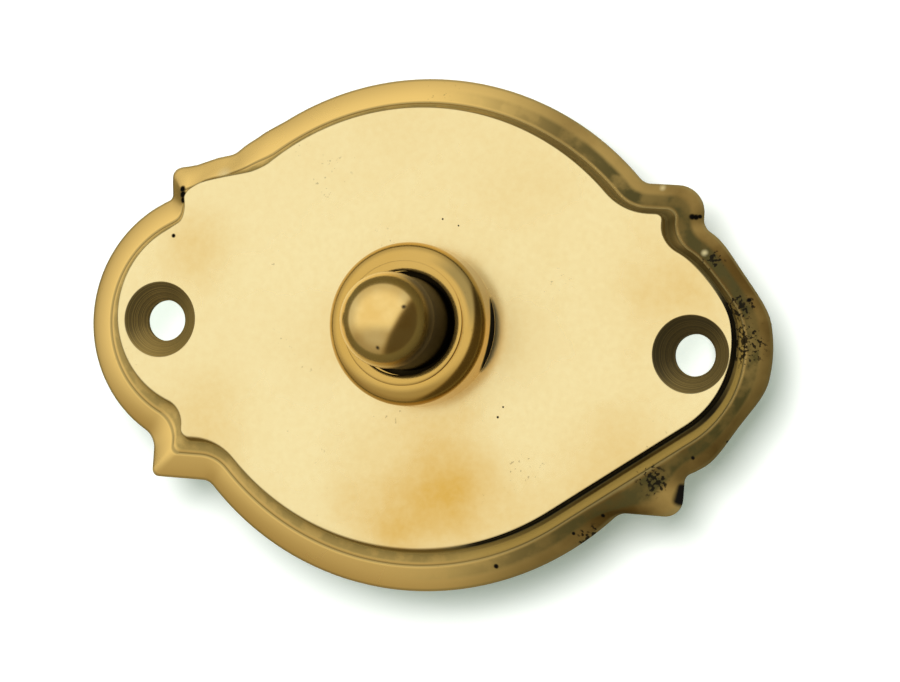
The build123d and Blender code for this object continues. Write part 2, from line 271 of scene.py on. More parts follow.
# The room is pale all round. What the brass mirrors of it is a bright panel overhead and to the left, which
# falls off towards the near side and low down, and a warm darkness on the right
def makeSky():
    s = studio
    world = bpy.data.worlds.new("room")
    bpy.context.scene.world = world
    bench = Bench(world)
    east, north, high = bench.apart(bench.node("ShaderNodeTexCoord", out="Generated"))
    x, y, z = s["panelSide"]
    lit = bench.fade(east * x + north * y + high * z, *s["panelFade"])
    near = bench.fade(north, *s["nearFade"]) * s["nearLoss"]
    low = bench.fade(high, *s["lowFade"]) * s["lowLoss"]
    under = bench.fade(high, *s["underFade"])
    panel = between(s["darkGlow"], s["panelGlow"], lit * (1 - near) * (1 - low))
    glow = between(panel, s["underGlow"], under)
    shade = bench.mix(bench.fade(panel, *s["warmFade"]), colour(*s["warmShade"]), colour(*s["paleShade"]))
    shade = bench.mix(under, shade, colour(*s["underShade"]))
    mirrored = bench.node("ShaderNodeBackground", None, {"Color": shade, "Strength": glow})
    room = bench.node("ShaderNodeBackground", None,
                      {"Color": colour(*s["roomShade"]), "Strength": s["roomGlow"]})
    glossy = bench.node("ShaderNodeLightPath", out="Is Glossy Ray")
    both = bench.node("ShaderNodeMixShader", None, {0: glossy, 1: room, 2: mirrored})
    bench.node("ShaderNodeOutputWorld", None, {"Surface": both})


def makeKeyLight():
    lamp = bpy.data.lights.new("keyLight", "AREA")
    lamp.shape = "RECTANGLE"
    lamp.size, lamp.size_y = studio["keySize"]
    lamp.energy = studio["keyPower"]
    lamp.color = studio["keyShade"]
    light = bpy.data.objects.new("keyLight", lamp)
    bpy.context.collection.objects.link(light)
    light.location = studio["keyPlace"]
    light.visible_glossy = False
    light.rotation_euler = (-Vector(studio["keyPlace"])).to_track_quat("-Z", "Y").to_euler()


deselectAll()
makeFloor()
makeSky()
makeKeyLight()
bpy.context.scene.view_settings.view_transform = "Standard"
print("floor and light set")

# The cast plate. Lengths are in millimetres, as on the real part, and corners go upper left, upper right,
# lower right, lower left. Each pull has its middle, its radius and how far it goes along x and y
plateSet = {
    "halfLength": 38.1,
    "halfWidth": 27.3,
    "archRadius": 31.5,
    "endRadius": 14.2,
    "earY": 17.3,
    "earLedge": 6.7,
    "spare": 0.05,
    "outline": {
        "shift": (-0.95, -0.7),
        "shoulder": 1.8,
        "notch": (0.8, 1.6, 1.0, 2.4),
        "ear": (1.7, 2.9, 1.9, 0.8),
        "straight": (0, 0, 0, 0),
        "pulls": ((-28.2, 16.4, 4.5, 0.0, -0.9), (-29.0, 15.5, 5.0, -0.4, 0.0), (-25.4, 17.4, 4.5, 0.0, 0.9),
                  (-20.6, 17.6, 4.5, 0.0, 0.5), (36.0, 9.6, 7.0, -0.9, -0.4), (35.4, -9.0, 6.0, -0.7, 0.4)),
    },
    "crease": {
        "shift": (-0.95, -0.7),
        "shoulder": 4.4,
        "notch": (2.8, 3.2, 3.0, 3.2),
        "ear": (0.9, 1.0, 1.2, 0.8),
        "straight": (0, 0, 1, 0),
        "pulls": ((-26.2, 13.5, 6.0, -1.5, 0.0), (-22.6, 14.6, 5.0, 0.0, 1.1), (-27.9, 14.4, 3.2, 0.0, -0.6),
                  (33.4, 8.6, 6.0, -0.6, -0.3)),
    },
    "field": {
        "shift": (-0.4, -0.2),
        "shoulder": 6.5,
        "notch": (2.8, 2.8, 1.6, 2.6),
        "ear": (0.8, 0.8, 2.2, 1.0),
        "straight": (0, 0, 1, 0),
        "pulls": ((-25.6, 12.8, 6.0, -1.75, 0.0), (-22.4, 13.6, 5.0, 0.0, 1.2), (-27.2, 13.8, 3.2, 0.0, -0.8),
                  (32.0, 8.0, 6.0, -0.4, -0.2)),
    },
    "cavity": {
        "shift": (0.0, 0.0),
        "shoulder": 4.5,
        "notch": (2.0, 2.0, 2.0, 2.0),
        "ear": (1.0, 1.0, 1.0, 1.0),
        "straight": (0, 0, 0, 0),
        "pulls": (),
    },
    "foot": 0.3,
    "footRound": 0.12,
    "rollSlopes": (36, 17),
    "creaseInset": 2.7,
    "creaseCut": 0.07,
    "coveSlopes": (20, 80),
    "fieldInset": 3.9,
    "fieldHeight": 4.4,
    "fieldEdge": 0.25,
    "fieldRing": 0.7,
    "cavityInset": 5.5,
    "cavityEdge": 0.8,
    "cavityHeight": 1.8,
    "smallestEar": 0.05,
    "stations": {"lobe": 26, "notch": 10, "cheek": 3, "ear": 10, "ledge": 4, "shoulder": 10, "arch": 34},
    "steps": {"cavity": 4, "roll": 16, "cove": 12, "wall": 3, "edge": 5},
}

# Places across the section, which the brass reads. The roll goes from 0 to 1, the cove from 1 to 2 and the
# wall of the field from 2 to 3
acrossAt = {
    "pillar": -2.5,
    "cavity": -2.0,
    "back": -1.5,
    "foot": -1.0,
    "footTop": -0.5,
    "roll": 0.0,
    "cove": 1.0,
    "wall": 2.0,
    "edge": 3.0,
    "field": 4.0,
    "boss": 5.0,
    "screwHole": 6.0,
    "bore": 7.0,
}


def arcPoints(centre, radius, start, end, count):
    angles = [between(start, end, i / count) for i in range(count)]
    return [(centre[0] + radius * math.cos(a), centre[1] + radius * math.sin(a)) for a in angles]


def linePoints(start, end, count):
    return [between(start, end, i / count) for i in range(count)]


# The largest round in a corner between a circle and a straight edge, within what the edge leaves free
def fittingRound(wanted, radius, distance, edgeEnd):
    across = math.sqrt(radius**2 - distance**2)
    return min(wanted, (edgeEnd - plateSet["spare"] - across) * (radius + distance) / across)


# A quarter of the cartouche with its ear, from the middle of its end lobe to the middle of its arch
def earedQuarter(inset, shoulder, notch, ear):
    count = plateSet["stations"]
    archY = plateSet["halfWidth"] - plateSet["archRadius"]
    lobeX = plateSet["halfLength"] - plateSet["endRadius"]
    arch = plateSet["archRadius"] - inset
    lobe = plateSet["endRadius"] - inset
    top = plateSet["earY"] - inset
    ledgeStart = math.sqrt(plateSet["archRadius"]**2 - (plateSet["earY"] - archY)**2)
    side = ledgeStart + plateSet["earLedge"] - inset
    shoulder = fittingRound(shoulder, arch, top - archY, side - ear)
    notch = fittingRound(notch, lobe, side - lobeX, top - ear)
    notchY = math.sqrt((lobe + notch)**2 - (side + notch - lobeX)**2)
    lobeEnd = math.atan2(notchY, side + notch - lobeX)
    shoulderX = math.sqrt((arch + shoulder)**2 - (top + shoulder - archY)**2)
    archStart = math.atan2(top + shoulder - archY, shoulderX)
    points = arcPoints((lobeX, 0), lobe, 0, lobeEnd, count["lobe"])
    points += arcPoints((side + notch, notchY), notch, lobeEnd + math.pi, math.pi, count["notch"])
    points += linePoints((side, notchY), (side, top - ear), count["cheek"])
    points += arcPoints((side - ear, top - ear), ear, 0, math.pi / 2, count["ear"])
    points += linePoints((side - ear, top), (shoulderX, top), count["ledge"])
    points += arcPoints((shoulderX, top + shoulder), shoulder, 1.5 * math.pi, archStart + math.pi,
                        count["shoulder"])
    points += arcPoints((0, archY), arch, archStart, math.pi / 2, count["arch"])
    return points + [(0.0, arch + archY)]


# The same quarter with its ear drawn out along the line that touches lobe and arch
def straightQuarter(inset):
    count = plateSet["stations"]
    archY = plateSet["halfWidth"] - plateSet["archRadius"]
    lobeX = plateSet["halfLength"] - plateSet["endRadius"]
    arch = plateSet["archRadius"] - inset
    lobe = plateSet["endRadius"] - inset
    touch = math.atan2(-archY, lobeX) + math.acos((arch - lobe) / math.hypot(lobeX, archY))
    start = (lobeX + lobe * math.cos(touch), lobe * math.sin(touch))
    end = (arch * math.cos(touch), archY + arch * math.sin(touch))
    stretches = ("notch", "cheek", "ear", "ledge", "shoulder")
    points = arcPoints((lobeX, 0), lobe, 0, touch, count["lobe"])
    for step, stretch in enumerate(stretches):
        low, high = (between(start, end, (step + more) / len(stretches)) for more in (0, 1))
        points += linePoints(low, high, count[stretch])
    points += arcPoints((0, archY), arch, touch, math.pi / 2, count["arch"])
    return points + [(0.0, arch + archY)]


# How far a named line of the hand-made pattern leaves the drawn one at a place
def pulled(name, x, y):
    pullX = pullY = 0.0
    for middleX, middleY, radius, alongX, alongY in plateSet[name]["pulls"]:
        near = max(0.0, 1 - (math.hypot(x - middleX, y - middleY) / radius)**2)**2
        pullX += near * alongX
        pullY += near * alongY
    return pullX, pullY


# A whole moulding line at an inset, part of the way from one named line to another. A small edge of the
# section moves it inwards by a little more
def mouldingLine(inset, low, high, share, inwards=0.0):
    line = []
    deep = inset + inwards
    shift, shoulder, notches, ears, straights = (
        between(plateSet[low][name], plateSet[high][name], share)
        for name in ("shift", "shoulder", "notch", "ear", "straight"))
    for corner, rightwards, upwards in ((1, 1, 1), (0, -1, 1), (3, -1, -1), (2, 1, -1)):
        ear = max(ears[corner] - inwards, plateSet["smallestEar"])
        eared = earedQuarter(deep, shoulder + inwards, notches[corner] + inwards, ear)
        quarter = [between(a, b, straights[corner]) for a, b in zip(eared, straightQuarter(deep))]
        placed = [(shift[0] + rightwards * x, shift[1] + upwards * y) for x, y in quarter]
        line += placed[:-1] if rightwards * upwards > 0 else placed[:0:-1]
    pulls = [between(pulled(low, x, y), pulled(high, x, y), share) for x, y in line]
    return [((x + pullX) * mm, (y + pullY) * mm) for (x, y), (pullX, pullY) in zip(line, pulls)]


# The section of the casting as rings: a moulding line, its height above the plate's back, and its place
# across. It runs from the cavity behind, round the foot and over the roll, the crease and the cove
def sectionRings():
    s = plateSet
    steps = s["steps"]
    rings = []
    for step in range(steps["cavity"] + 1):
        turn = math.radians(90 * step / steps["cavity"])
        line = mouldingLine(s["cavityInset"], "cavity", "cavity", 0, s["cavityEdge"] * (1 - math.sin(turn)))
        rings.append((line, s["cavityHeight"] - s["cavityEdge"] * (1 - math.cos(turn)), acrossAt["cavity"]))
    rings.append((mouldingLine(s["cavityInset"], "cavity", "cavity", 0), 0, acrossAt["back"]))
    rings.append((mouldingLine(s["footRound"], "outline", "crease", 0), 0, acrossAt["foot"]))
    rings.append((mouldingLine(0, "outline", "crease", 0), s["footRound"], acrossAt["footTop"]))
    steep, flat = (math.tan(math.radians(slope)) for slope in s["rollSlopes"])
    for step in range(steps["roll"] + 1):
        share = step / steps["roll"]
        inset = share * s["creaseInset"]
        height = s["foot"] + between(steep, flat, share / 2) * inset
        cut = s["creaseCut"] if step == steps["roll"] else 0
        line = mouldingLine(inset, "outline", "crease", share)
        rings.append((line, height - cut, acrossAt["roll"] + share))
    start, end = (math.radians(slope) for slope in s["coveSlopes"])
    coveWidth = s["fieldInset"] - s["creaseInset"]
    radius = coveWidth / (math.sin(end) - math.sin(start))
    for step in range(1, steps["cove"] + 1):
        turn = between(start, end, step / steps["cove"])
        inset = s["creaseInset"] + radius * (math.sin(turn) - math.sin(start))
        rise = radius * (math.cos(start) - math.cos(turn))
        share = (inset - s["creaseInset"]) / coveWidth
        line = mouldingLine(inset, "crease", "field", share)
        rings.append((line, height + rise, acrossAt["cove"] + share))
    coveTop = height + rise
    wallTop = s["fieldHeight"] - s["fieldEdge"]
    wallLine = mouldingLine(s["fieldInset"], "field", "field", 0)
    for step in range(1, steps["wall"] + 1):
        share = step / steps["wall"]
        rings.append((wallLine, between(coveTop, wallTop, share), acrossAt["wall"] + share))
    for step in range(1, steps["edge"] + 1):
        share = step / steps["edge"]
        turn = math.radians(90 * share)
        line = mouldingLine(s["fieldInset"], "field", "field", 0, s["fieldEdge"] * (1 - math.cos(turn)))
        rings.append((line, wallTop + s["fieldEdge"] * math.sin(turn), acrossAt["edge"] + share / 2))
    line = mouldingLine(s["fieldInset"], "field", "field", 0, s["fieldRing"])
    rings.append((line, s["fieldHeight"], acrossAt["field"]))
    return rings


# Puts the selected ring of vertices on its line
def placeRing(piece, line, height, across):
    shape = bmesh.from_edit_mesh(piece.data)
    station = shape.verts.layers.int["station"]
    acrossLayer = shape.verts.layers.float["across"]
    for vertex in shape.verts:
        if vertex.select:
            vertex.co = (*line[vertex[station]], plateBack + height * mm)
            vertex[acrossLayer] = across
    bmesh.update_edit_mesh(piece.data)


def makeCasting():
    rings = sectionRings()
    count = len(rings[0][0])
    deselectAll()
    bpy.ops.mesh.primitive_circle_add(vertices=count, radius=plateSet["halfWidth"] * mm, location=(0, 0, 0))
    piece = bpy.context.active_object
    piece.name = "cast_plate"
    piece.data.attributes.new("station", "INT", "POINT").data.foreach_set("value", range(count))
    piece.data.attributes.new("across", "FLOAT", "POINT")
    bpy.ops.object.mode_set(mode="EDIT")
    placeRing(piece, *rings[0])
    bpy.ops.mesh.edge_face_add()
    for line, height, across in rings[1:]:
        bpy.ops.mesh.extrude_edges_move()
        placeRing(piece, line, height, across)
    bpy.ops.mesh.edge_face_add()
    bpy.ops.mesh.select_all(action="SELECT")
    bpy.ops.mesh.normals_make_consistent(inside=False)
    bpy.ops.object.mode_set(mode="OBJECT")
    return piece


# A turned shape: its half section is drawn point by point and spun round its axis
def turnPiece(name, profile, steps, centre=(0, 0)):
    places = [Vector(((centre[0] + r) * mm, centre[1] * mm, z * mm)) for r, z in profile]
    deselectAll()
    bpy.ops.mesh.primitive_plane_add(size=mm, location=(0, 0, 0))
    piece = bpy.context.active_object
    piece.name = name
    bpy.ops.object.mode_set(mode="EDIT")
    bpy.ops.mesh.merge(type="CENTER")
    bpy.ops.transform.translate(value=places[0])
    for start, end in zip(places, places[1:]):
        bpy.ops.mesh.extrude_vertices_move(TRANSFORM_OT_translate={"value": end - start})
    bpy.ops.mesh.select_all(action="SELECT")
    middle = (centre[0] * mm, centre[1] * mm, 0)
    bpy.ops.mesh.spin(steps=steps, angle=2 * math.pi, center=middle, axis=(0, 0, 1))
    bpy.ops.mesh.select_all(action="SELECT")
    bpy.ops.mesh.remove_doubles(threshold=mergeWithin)
    bpy.ops.mesh.normals_make_consistent(inside=False)
    bpy.ops.object.mode_set(mode="OBJECT")
    return piece


# Joins a tool shape to a piece, or cuts it out
def workWith(piece, tool, operation):
    deselectAll()
    bpy.context.view_layer.objects.active = piece
    piece.select_set(True)
    cut = piece.modifiers.new("cut", "BOOLEAN")
    cut.operation = operation
    cut.object = tool
    cut.solver = "EXACT"
    bpy.ops.object.modifier_apply(modifier=cut.name)
    bpy.data.objects.remove(tool)


# Edges that turn by more than the angle, in degrees, stay sharp
smoothing = {"sharpAngle": 32, "faceWeight": 80}


def finishSmooth(piece):
    deselectAll()
    bpy.context.view_layer.objects.active = piece
    piece.select_set(True)
    bpy.ops.object.shade_smooth_by_angle(angle=math.radians(smoothing["sharpAngle"]))
    weighted = piece.modifiers.new("weighted", "WEIGHTED_NORMAL")
    weighted.keep_sharp = True
    weighted.weight = smoothing["faceWeight"]
    bpy.ops.object.modifier_apply(modifier=weighted.name)


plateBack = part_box("push_plate")[0].z
fieldTop = plateBack / mm + plateSet["fieldHeight"]

# Boss, bore, pillars and screw holes, in mm. The boss's wall and height are above the field, and other heights
# are above the block's back
bossSet = {
    "radius": 8.6,
    "shift": (-0.35, 0.0),
    "wall": 3.0,
    "height": 5.0,
    "beadRadius": 6.55,
    "beadStep": 0.12,
    "lipRadius": 5.45,
    "boreRadius": 6.5,
    "lipBottom": 20.0,
    "root": 15.0,
    "pillarRadius": 3.2,
    "pillarY": 12.5,
    "pillarFoot": 12.5,
    "tapRadius": 1.52,
    "tapTop": 15.6,
    "holes": ((29.45, -1.1), (-29.55, -1.1)),
    "holeRadius": 2.2,
    "sinkRadius": 4.1,
    "near": 0.02,
    "steps": {"boss": 160, "shoulder": 14, "bead": 8, "bore": 160, "pillar": 64, "tap": 48, "sink": 128},
}


def bossProfile():
    b = bossSet
    steps = b["steps"]
    wallTop = fieldTop + b["wall"]
    beadFoot = fieldTop + b["height"] - b["beadStep"]
    profile = [(0, b["root"]), (b["radius"], b["root"]), (b["radius"], fieldTop), (b["radius"], wallTop)]
    for step in range(1, steps["shoulder"] + 1):
        turn = math.radians(90 * step / steps["shoulder"])
        profile.append((between(b["beadRadius"], b["radius"], math.cos(turn)),
                        between(wallTop, beadFoot - b["beadStep"], math.sin(turn))))
    profile.append((b["beadRadius"], beadFoot))
    middle = (b["beadRadius"] + b["lipRadius"]) / 2
    for step in range(1, steps["bead"] + 1):
        turn = math.pi * step / steps["bead"]
        profile.append((between(middle, b["beadRadius"], math.cos(turn)),
                        beadFoot + b["beadStep"] * math.sin(turn)))
    return profile + [(0, beadFoot)]


# Sets the place across the section for all that the boss and the tools made
def markPlaces(plate):
    b = bossSet
    near = b["near"]
    places = plate.data.attributes["across"].data
    for vertex in plate.data.vertices:
        x, y, z = (value / mm for value in vertex.co)
        if z > fieldTop + near:
            places[vertex.index].value = acrossAt["boss"]
        elif z > fieldTop - near:
            places[vertex.index].value = acrossAt["field"]
        elif math.hypot(x, y) < b["boreRadius"] + near:
            places[vertex.index].value = acrossAt["bore"]
        elif min(math.hypot(x - holeX, y - holeY) for holeX, holeY in b["holes"]) < b["sinkRadius"] + near:
            places[vertex.index].value = acrossAt["screwHole"]
        elif math.hypot(x, abs(y) - b["pillarY"]) < b["pillarRadius"] + near:
            places[vertex.index].value = acrossAt["pillar"]


def makePlate():
    b = bossSet
    steps = b["steps"]
    back = plateBack / mm
    plate = makeCasting()
    workWith(plate, turnPiece("boss", bossProfile(), steps["boss"], b["shift"]), "UNION")
    for side in (1, -1):
        centre = (0, side * b["pillarY"])
        foot = [(0, b["pillarFoot"]), (b["pillarRadius"], b["pillarFoot"]), (b["pillarRadius"], b["root"]),
                (0, b["root"])]
        workWith(plate, turnPiece("pillar", foot, steps["pillar"], centre), "UNION")
        tap = [(0, back), (b["tapRadius"], back), (b["tapRadius"], b["tapTop"]), (0, b["tapTop"])]
        workWith(plate, turnPiece("tap", tap, steps["tap"], centre), "DIFFERENCE")
    high = fieldTop + 2 * b["height"]
    bore = [(0, back), (b["boreRadius"], back), (b["boreRadius"], b["lipBottom"]),
            (b["lipRadius"], b["lipBottom"]), (b["lipRadius"], high), (0, high)]
    workWith(plate, turnPiece("bore", bore, steps["bore"]), "DIFFERENCE")
    for centre in b["holes"]:
        deep = fieldTop - (b["sinkRadius"] - b["holeRadius"])
        sink = [(0, 0), (b["holeRadius"], 0), (b["holeRadius"], deep),
                (b["sinkRadius"] + 1, fieldTop + 1), (0, fieldTop + 1)]
        workWith(plate, turnPiece("sink", sink, steps["sink"], centre), "DIFFERENCE")
    plate.data.attributes.remove(plate.data.attributes["station"])
    markPlaces(plate)
    finishSmooth(plate)
    return plate


plate = makePlate()
print("plate made with", len(plate.data.polygons), "faces")

# The turned push, in mm, with heights above the block's back
pushSet = {
    "radius": 5.0,
    "domeCentre": 26.9,
    "neckRelief": 0.12,
    "flangeRadius": 6.45,
    "flangeTop": 19.95,
    "flangeBottom": 18.45,
    "edge": 0.15,
    "stemRadius": 2.0,
    "stemBottom": 11.3,
    "pegRadius": 0.92,
    "pegDepth": 1.62,
    "domeSteps": 28,
    "turnSteps": 192,
}


def pushProfile():
    p = pushSet
    neck = p["radius"] - p["neckRelief"]
    turns = [math.radians(90 * step / p["domeSteps"]) for step in range(p["domeSteps"] + 1)]
    dome = [(p["radius"] * math.sin(turn), p["domeCentre"] + p["radius"] * math.cos(turn)) for turn in turns]
    return dome + [
        (neck, p["domeCentre"] - p["neckRelief"]),
        (neck, p["flangeTop"]),
        (p["flangeRadius"] - p["edge"], p["flangeTop"]),
        (p["flangeRadius"], p["flangeTop"] - p["edge"]),
        (p["flangeRadius"], p["flangeBottom"] + p["edge"]),
        (p["flangeRadius"] - p["edge"], p["flangeBottom"]),
        (p["stemRadius"], p["flangeBottom"]),
        (p["stemRadius"], p["stemBottom"]),
        (p["pegRadius"], p["stemBottom"]),
        (p["pegRadius"], p["stemBottom"] + p["pegDepth"]),
        (0, p["stemBottom"] + p["pegDepth"]),
    ]


push = turnPiece("turned_push", pushProfile(), pushSet["turnSteps"])
finishSmooth(push)
print("push made with", len(push.data.polygons), "faces")

# Polished cast brass of the plate. Lengths are in mm. Spots and patches are x, y, radius and, for the warm ones,
# strength. A fade has its start and its end, and a share its least and its most. A band lies across the section
# and has its start, where it is full, and its end. The boss shadow is the painted black shadow low on the boss's
# wall
castBrass = {
    "gold": (0.93, 0.785, 0.42),
    "warm": (0.72, 0.43, 0.075),
    "rimGold": (0.88, 0.60, 0.19),
    "olive": (0.26, 0.20, 0.075),
    "brown": (0.105, 0.058, 0.011),
    "dullGrey": (0.062, 0.048, 0.013),
    "coveGold": (0.38, 0.245, 0.06),
    "bossGold": (0.62, 0.38, 0.078),
    "pitBlackAndShade": (0.004, 0.003, 0.002),
    "machined": (0.46, 0.31, 0.085),
    "raw": (0.40, 0.29, 0.11),
    "specular": 0.12,
    "cloudNoise": (75.0, 5.0),
    "broadNoise": (38.0, 3.0),
    "grainNoise": (1500.0, 3.0),
    "grimeNoise": (420.0, 5.0),
    "speckleNoise": (2400.0, 2.0),
    "rareNoise": (130.0, 1.0),
    "waveNoise": (110.0, 2.0),
    "noiseMiddle": 0.5,
    "rimBand": (-0.6, -0.4, 1.98, 2.05),
    "bossFade": (0.02, 0.06),
    "bossShare": (0.80, 1.0),
    "warmPatches": ((0, -16, 12, 0.55), (-3, -22, 8, 0.30), (-26, 6, 7, 0.30), (-23, -12, 9, 0.24),
                    (8, -18, 9, 0.30), (22, -14, 14, 0.20), (0, 0, 15, 0.42), (3, -9, 8, 0.22),
                    (28, 5, 14, 0.26), (16, 10, 14, 0.10)),
    "warmLeast": 0.05,
    "warmFade": (0.35, 0.68),
    "warmShare": (0.55, 1.45),
    "broadFade": (0.42, 0.65),
    "warmWeights": {"patches": 1.0, "broad": 0.08, "grain": 0.26},
    "rightFade": (-4.0, 22.0),
    "lowRightFades": ((8.0, -4.0), (2.0, 12.0)),
    "rightShadeFade": (0.35, 0.60),
    "rightShadeShare": (0.66, 1.0),
    "rollBand": (0.34, 0.54, 0.84, 0.95),
    "coveBand": (1.12, 1.30, 1.70, 1.88),
    "coveDull": 0.6,
    "dullFade": (0.36, 0.56),
    "dullShare": (0.55, 1.0),
    "giltBand": (1.04, 1.12, 1.58, 1.70),
    "creaseLine": (0.90, 0.98, 1.02, 1.14),
    "coveLine": (1.78, 1.92, 2.0, 2.05),
    "footLine": (-0.9, -0.5, 0.03, 0.13),
    "footStrength": 0.8,
    "lineStrength": 0.68,
    "wallBand": (1.9, 2.1, 2.95, 3.25),
    "wallStrength": 0.60,
    "blackBand": (1.84, 1.94, 3.30, 3.48),
    "blackSlope": 0.42,
    "blackFades": ((13.0, 17.5), (9.5, 3.5)),
    "wideBand": (1.50, 1.66, 3.30, 3.48),
    "widePatch": (32.6, -7.5, 7.0),
    "cheekBand": (-1.2, -0.9, 0.10, 0.22),
    "cheekPatch": (28.6, -15.6, 1.5),
    "cheekEdge": 0.6,
    "sinkRim": 0.2,
    "sinkDepth": 0.08,
    "sinkRings": (3.2, 1.0),
    "ringFade": (0.42, 0.56),
    "facingFade": (-3.05, 3.15),
    "sinkWeights": {"right": 0.34, "rings": 0.40, "shadedSide": 0.45},
    "sinkDarkest": 0.93,
    "sinkStrength": 0.95,
    "shadePatch": (6.2, 4.2, 5.6),
    "shadeEdge": 0.3,
    "shadeFade": (6.6, 7.1),
    "shadeStrength": 0.72,
    "bossShadowWall": (1.0, 0.95),
    "bossShadowNorth": -0.5,
    "bossShadowHalves": (4.2, 2.0),
    "bossShadowFade": (1.0, 0.62),
    "bossShadowEast": (4.0, 5.5),
    "blackSpots": ((-28.7, 8.0, 0.30), (9.4, -24.6, 0.34), (20.5, -18.4, 0.26), (17.5, -20.5, 0.24),
                   (29.7, -11.7, 0.26), (33.1, -9.8, 0.22), (34.4, 5.0, 0.32), (27.7, 13.3, 0.42),
                   (28.05, 13.3, 0.40), (28.4, 13.4, 0.30), (-29.25, 13.3, 0.50), (-29.1, 12.7, 0.58),
                   (9.3, -9.0, 0.17), (9.8, -7.9, 0.14), (1.6, 11.4, 0.14), (3.4, 10.8, 0.12),
                   (-29.0, 12.1, 0.50)),
    "spotEdge": 0.45,
    "spotFade": (-0.4, 0.0),
    "pitPatches": ((25.6, -14.4, 2.4), (34.2, 0.4, 3.4), (33.6, 4.2, 2.2), (19.4, -21.0, 2.2),
                   (30.4, 8.8, 1.6)),
    "pitMore": 0.18,
    "pitFade": (0.61, 0.70),
    "pitPlaceFade": (0.02, 0.4),
    "pitStrength": 0.9,
    "rareFade": (0.58, 0.70),
    "speckleFade": (0.66, 0.74),
    "speckleStrength": 0.35,
    "backFade": (-0.7, -1.0),
    "rawFade": (0.3, 0.7),
    "rawShare": (0.60, 1.0),
    "highlightSpots": ((24.2, 16.2, 0.5), (29.4, 9.6, 0.5), (-24.5, 15.1, 1.2)),
    "highlightStrength": 0.50,
    "mattWeights": {"dullAndShade": 0.75, "gilt": 0.60, "rightShade": 0.35},
    "metalLosses": {"matt": 1.0, "sinks": 0.30, "back": 0.4, "bossShadow": 1.0, "black": 0.5},
    "metalLeast": 0.05,
    "roughPlain": 0.25,
    "roughWeights": {"clouds": 0.05, "matt": 0.18, "sinks": 0.14, "back": 0.25, "holes": 0.25, "black": 0.35,
                     "boss": -0.09, "bossShadow": 0.75},
    "reliefWeights": {"waves": 1.0, "grain": 0.05, "grime": 0.30, "rings": 0.30, "pits": -0.5, "sand": 1.2},
    "bumpStrength": 0.30,
    "bumpDepth": 0.1,
}


